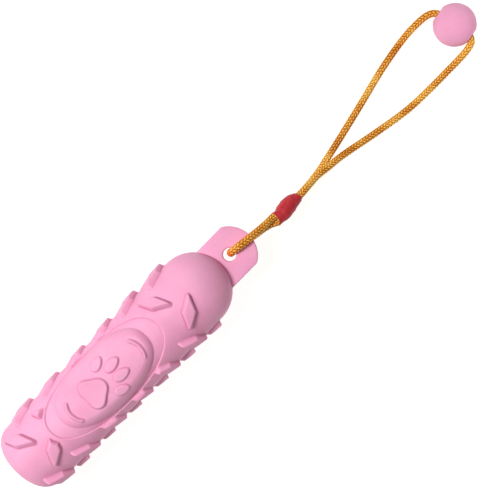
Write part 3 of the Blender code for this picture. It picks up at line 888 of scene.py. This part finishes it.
def build_whipping(line):
    """Turns of waxed thread wound round the lapped strands."""
    length = sleeve_axes()[4]
    turns = int(2.0 * (WHIP_HALF - WHIP_THREAD_R) / (2.1 * WHIP_THREAD_R))
    count = turns * WHIP_TURN_STEPS
    angle = np.linspace(0.0, 2.0 * math.pi * turns, count)
    station = 0.5 * length + np.linspace(-1.0, 1.0, count) * (WHIP_HALF - WHIP_THREAD_R)
    grid = np.linspace(station[0], station[-1], 40)
    around = np.linspace(-math.pi, math.pi, 181)
    table = spread_out(bundle_radius(line, grid, around, SKIN_GAP + WHIP_THREAD_R), 1)
    row = np.interp(station, grid, np.arange(len(grid)))
    wrapped = (angle + math.pi) % (2.0 * math.pi) - math.pi
    column = np.interp(wrapped, around, np.arange(len(around)))
    r0 = np.minimum(row.astype(int), len(grid) - 2)
    c0 = np.minimum(column.astype(int), len(around) - 2)
    fr, fc = row - r0, column - c0
    radius = ((table[r0, c0] * (1 - fc) + table[r0, c0 + 1] * fc) * (1 - fr)
              + (table[r0 + 1, c0] * (1 - fc) + table[r0 + 1, c0 + 1] * fc) * fr)
    path = around_sleeve(station, angle, radius)
    _, normal, side = carried_frames(path)
    turn = 2.0 * math.pi * np.arange(WHIP_SIDES)[None, :, None] / WHIP_SIDES
    points = path[:, None, :] + WHIP_THREAD_R * (normal[:, None, :] * np.cos(turn)
                                                 + side[:, None, :] * np.sin(turn))
    faces = ring_faces(count, WHIP_SIDES)
    faces.append(list(range(WHIP_SIDES))[::-1])
    faces.append(list(range((count - 1) * WHIP_SIDES, count * WHIP_SIDES)))
    return mesh_object("thread_whipping", points.reshape(-1, 3), faces)


# ---------------------------------------------------------------- ball

def build_ball():
    """The bored ball, with rounded mouths and a faint mould line."""
    mouth_r = BORE_R + BORE_ROUND
    mouth_z = math.sqrt(BALL_R ** 2 - mouth_r ** 2)
    start = math.asin(mouth_r / BALL_R)
    profile = []
    for step in range(BALL_RINGS + 1):
        turn = start + (math.pi - 2.0 * start) * step / BALL_RINGS
        from_line = (turn - 0.5 * math.pi) * BALL_R
        lift = BALL_LINE_RISE * math.exp(-(from_line / BALL_LINE_WIDTH) ** 2)
        profile.append(((BALL_R + lift) * math.sin(turn), (BALL_R + lift) * math.cos(turn)))
    mouth = []
    for step in range(1, BORE_STEPS + 1):
        turn = 0.5 * math.pi * step / BORE_STEPS
        mouth.append((mouth_r - BORE_ROUND * math.sin(turn),
                      mouth_z - BORE_ROUND * (1.0 - math.cos(turn))))
    profile += [(radius, -height) for radius, height in mouth]
    profile += [(BORE_R, height) for height in np.linspace(-mouth[-1][1], mouth[-1][1], 8)[1:-1]]
    profile += mouth[::-1]
    profile = np.array(profile)
    angle = 2.0 * math.pi * np.arange(BALL_SIDES) / BALL_SIDES
    axis = np.array(BORE_AXIS) / np.linalg.norm(BORE_AXIS)
    first = np.cross(axis, (0.0, 0.0, 1.0))
    second = np.cross(axis, first)
    points = (np.array(BALL_CENTRE)
              + profile[:, None, 1:] * axis
              + profile[:, None, :1] * (np.cos(angle)[None, :, None] * first
                                        + np.sin(angle)[None, :, None] * second))
    return mesh_object("bored_ball", points.reshape(-1, 3),
                       ring_faces(len(profile), BALL_SIDES, wrap_rings=True))


# ---------------------------------------------------------------- materials

class Nodes:
    """A short way to lay out a material's nodes."""

    def __init__(self, name):
        self.material = bpy.data.materials.new(name)
        self.material.use_nodes = True
        self.tree = self.material.node_tree
        self.shader = self.tree.nodes["Principled BSDF"]

    def add(self, kind, inputs=None, **settings):
        node = self.tree.nodes.new(kind)
        for key, value in settings.items():
            setattr(node, key, value)
        for key, value in (inputs or {}).items():
            self.feed(node.inputs[key], value)
        return node

    def feed(self, socket, value):
        if isinstance(value, bpy.types.NodeSocket):
            self.tree.links.new(value, socket)
        else:
            socket.default_value = value

    def maths(self, operation, a, b=0.0, c=0.0):
        node = self.add("ShaderNodeMath", operation=operation)
        for socket, value in zip(node.inputs, (a, b, c)):
            self.feed(socket, value)
        return node.outputs[0]

    def noise(self, vector, scale, detail=2.0, roughness=0.5):
        return self.add("ShaderNodeTexNoise", {"Vector": vector, "Scale": scale, "Detail": detail,
                                               "Roughness": roughness}).outputs["Fac"]

    def ramp(self, value, stops):
        node = self.add("ShaderNodeValToRGB", {"Fac": value})
        node.color_ramp.elements[0].position = stops[0][0]
        node.color_ramp.elements[0].color = (*stops[0][1], 1.0)
        node.color_ramp.elements[1].position = stops[-1][0]
        node.color_ramp.elements[1].color = (*stops[-1][1], 1.0)
        for place, colour in stops[1:-1]:
            node.color_ramp.elements.new(place).color = (*colour, 1.0)
        return node.outputs["Color"]

    def mix(self, share, first, second):
        node = self.add("ShaderNodeMix", data_type="RGBA")
        self.feed(node.inputs["Factor"], share)
        for socket, value in ((node.inputs[6], first), (node.inputs[7], second)):
            self.feed(socket, value if isinstance(value, bpy.types.NodeSocket) else (*value, 1.0))
        return node.outputs[2]

    def bump(self, height, strength, distance, normal=None):
        inputs = {"Height": height, "Strength": strength, "Distance": distance}
        if normal is not None:
            inputs["Normal"] = normal
        return self.add("ShaderNodeBump", inputs).outputs["Normal"]

    def attribute(self, name):
        return self.add("ShaderNodeAttribute", attribute_name=name).outputs["Fac"]

    def place(self):
        return self.add("ShaderNodeTexCoord").outputs["Object"]

    def set(self, **values):
        for key, value in values.items():
            self.feed(self.shader.inputs[key.replace("_", " ")], value)


def tinted(colour, factors):
    return tuple(min(1.0, c * f) for c, f in zip(colour, factors))


def rubber(name, colour):
    """Foamed thermoplastic rubber: matte, faintly mottled, fine closed-cell skin, with painted
    shade at the feet of folds and a painted highlight on crests.
    """
    n = Nodes(name)
    place = n.place()
    cloud = n.noise(place, 55.0, 3.0)
    speck = n.noise(place, 900.0, 2.0)
    grain = n.noise(place, 2600.0, 3.0, 0.6)
    mix = n.maths("ADD", n.maths("MULTIPLY", cloud, 0.75), n.maths("MULTIPLY", speck, 0.25))
    deep = tinted(colour, (0.965, 0.90, 0.93))
    pale = tinted(colour, (1.02, 1.09, 1.06))
    foot, crest = n.attribute("foot"), n.attribute("crest")
    skin = n.ramp(mix, [(0.3, deep), (0.5, colour), (0.7, pale)])
    # painted shade where foot is high, painted highlight where crest is high
    fold_shaded = n.mix(n.maths("MULTIPLY", foot, 0.65), skin, tinted(colour, FOOT_PAINTED_SHADE))
    n.set(Base_Color=n.mix(n.maths("MULTIPLY", crest, 0.35), fold_shaded, tinted(colour, CREST_PAINTED_HIGHLIGHT)))
    n.set(Roughness=n.maths("MULTIPLY_ADD", grain, 0.16, 0.50))
    n.set(Subsurface_Weight=0.12, Subsurface_Scale=0.0025)
    n.shader.inputs["Subsurface Radius"].default_value = (1.0, 0.45, 0.6)
    n.shader.inputs["Specular IOR Level"].default_value = 0.22
    peel = n.bump(n.noise(place, 420.0, 2.0), 0.10, 0.0002)
    n.set(Normal=n.bump(grain, 0.22, 0.00006, peel))
    return n.material


def braid():
    """Glossy braided polypropylene, with filament streaks along each strand, painted shade in the
    pits between strands and a painted highlight on their crowns.
    """
    n = Nodes("braided_polypropylene")
    across, lengthways, lift = (n.attribute(name) for name in ("across", "lengthways", "lift"))
    at = n.add("ShaderNodeCombineXYZ", {"X": n.maths("MULTIPLY", across, 3.2),
                                        "Y": n.maths("MULTIPLY", lengthways, 0.55)}).outputs[0]
    streak = n.noise(at, 2.2, 3.0, 0.6)
    crown = n.maths("SUBTRACT", 1.0, n.maths("MULTIPLY", across, across))
    height = n.maths("MULTIPLY_ADD", lift, 0.34, n.maths("MULTIPLY", crown, 0.62))
    place = n.place()
    batch = n.noise(place, 70.0, 1.0)
    tone = n.maths("ADD", height, n.maths("MULTIPLY_ADD", streak, 0.34, -0.17))
    tone = n.maths("ADD", tone, n.maths("MULTIPLY_ADD", batch, 0.44, -0.22))
    # darker where the braid is low and lighter where it is high: painted shade in the pits, painted
    # highlight on the crowns; streak and batch add random tone
    yarn_and_painted_shade = n.ramp(tone, [(0.42, (0.07, 0.009, 0.001)), (0.58, (0.46, 0.095, 0.001)),
                         (0.76, (0.93, 0.315, 0.009)), (0.94, (1.0, 0.74, 0.18))])
    # near the eyelet the cord is mixed to a warm orange-red: painted light
    n.set(Base_Color=n.mix(n.maths("MULTIPLY", n.attribute("eyelet_painted_light"), 0.75), yarn_and_painted_shade, EYELET_PAINTED_LIGHT))
    n.set(Roughness=n.maths("MULTIPLY_ADD", streak, 0.2, 0.30))
    n.shader.inputs["Specular IOR Level"].default_value = 0.2
    n.set(Normal=n.bump(streak, 0.5, 0.00008))
    return n.material


def shrink_tube():
    """Red polyolefin shrink tube: satin, stretched thin, with fine drag lines."""
    n = Nodes("shrink_tube_satin")
    place = n.place()
    turn = n.add("ShaderNodeMapping", {"Vector": place, "Rotation": (0.0, math.radians(22.0), 0.0),
                                       "Scale": (0.18, 1.0, 1.0)}).outputs[0]
    drag = n.noise(turn, 1500.0, 3.0, 0.6)
    cloud = n.noise(place, 260.0, 2.0)
    mix = n.maths("ADD", n.maths("MULTIPLY", drag, 0.4), n.maths("MULTIPLY", cloud, 0.6))
    n.set(Base_Color=n.ramp(mix, [(0.3, (0.46, 0.022, 0.034)), (0.5, (0.58, 0.034, 0.048)),
                                  (0.72, (0.68, 0.055, 0.066))]))
    n.set(Roughness=n.maths("MULTIPLY_ADD", cloud, 0.2, 0.42))
    n.shader.inputs["Specular IOR Level"].default_value = 0.28
    n.set(Normal=n.bump(n.noise(place, 520.0, 2.0), 0.25, 0.0002, n.bump(drag, 0.25, 0.00006)))
    return n.material


def waxed_thread():
    """Waxed whipping thread with its twist."""
    n = Nodes("waxed_thread")
    place = n.place()
    twist = n.add("ShaderNodeTexWave", {"Vector": place, "Scale": 900.0, "Distortion": 2.0},
                  bands_direction="DIAGONAL").outputs["Fac"]
    tone = n.maths("MULTIPLY_ADD", n.noise(place, 1800.0), 0.5, n.maths("MULTIPLY", twist, 0.5))
    n.set(Base_Color=n.ramp(tone, [(0.1, (0.50, 0.42, 0.28)), (0.9, (0.80, 0.74, 0.60))]))
    n.set(Roughness=n.maths("MULTIPLY_ADD", twist, 0.2, 0.55))
    n.set(Normal=n.bump(twist, 0.5, 0.0001))
    return n.material


def light_table():
    """Seamless white acrylic, lit a little from behind."""
    n = Nodes("white_acrylic")
    place = n.place()
    n.set(Base_Color=n.ramp(n.noise(place, 6.0, 3.0), [(0.3, (0.24, 0.24, 0.24)),
                                                       (0.7, (0.26, 0.26, 0.26))]))
    n.set(Roughness=0.9, Emission_Strength=0.93)
    n.shader.inputs["Emission Color"].default_value = (1.0, 0.99, 0.96, 1.0)
    n.shader.inputs["Specular IOR Level"].default_value = 0.1
    return n.material


# ---------------------------------------------------------------- stage

def area_light(name, place, aim, size, watts, spread_deg):
    data = bpy.data.lights.new(name, "AREA")
    data.shape = "DISK"
    data.size = size
    data.energy = watts
    data.spread = math.radians(spread_deg)
    lamp = link(bpy.data.objects.new(name, data))
    lamp.location = place
    lamp.rotation_euler = (Vector(aim) - Vector(place)).to_track_quat("-Z", "Y").to_euler()


def build_stage():
    """The pale floor, the dim world and the lights."""
    mesh = bpy.data.meshes.new("floor")
    far = FLOOR_REACH
    mesh.from_pydata([(-far, -far, 0.0), (far, -far, 0.0), (far, far, 0.0), (-far, far, 0.0)],
                     [], [(0, 1, 2, 3)])
    floor = link(bpy.data.objects.new("floor", mesh))
    mesh.materials.append(light_table())
    world = bpy.data.worlds.new("studio")
    world.use_nodes = True
    world.node_tree.nodes["Background"].inputs["Color"].default_value = WORLD_COLOUR
    world.node_tree.nodes["Background"].inputs["Strength"].default_value = WORLD_STRENGTH
    bpy.context.scene.world = world
    for light in LIGHTS:
        area_light(*light)


# ---------------------------------------------------------------- the object

def dress(piece, body, node, material):
    """Put a piece on its body, in place of its CAD node, with its material."""
    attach(piece, body)
    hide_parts(node)
    piece.data.materials.clear()
    piece.data.materials.append(material)


add_camera()
cord, cord_line = build_cord()
sleeve = build_sleeve(cord_line)
whipping = build_whipping(cord_line)
ball = build_ball()
bumper = build_bumper()

dress(bumper, "bumper", "bumper_body", rubber("foamed_rubber", PINK))
dress(cord, "lanyard", "throw_cord", braid())
dress(sleeve, "lanyard", "shrink_sleeve", shrink_tube())
dress(whipping, "lanyard", "splice_whipping", waxed_thread())
dress(ball, "ball", "toggle_ball", rubber("ball_foamed_rubber", PINK))

build_stage()
bpy.context.scene.view_settings.view_transform = "Standard"
bpy.context.scene.view_settings.look = "None"
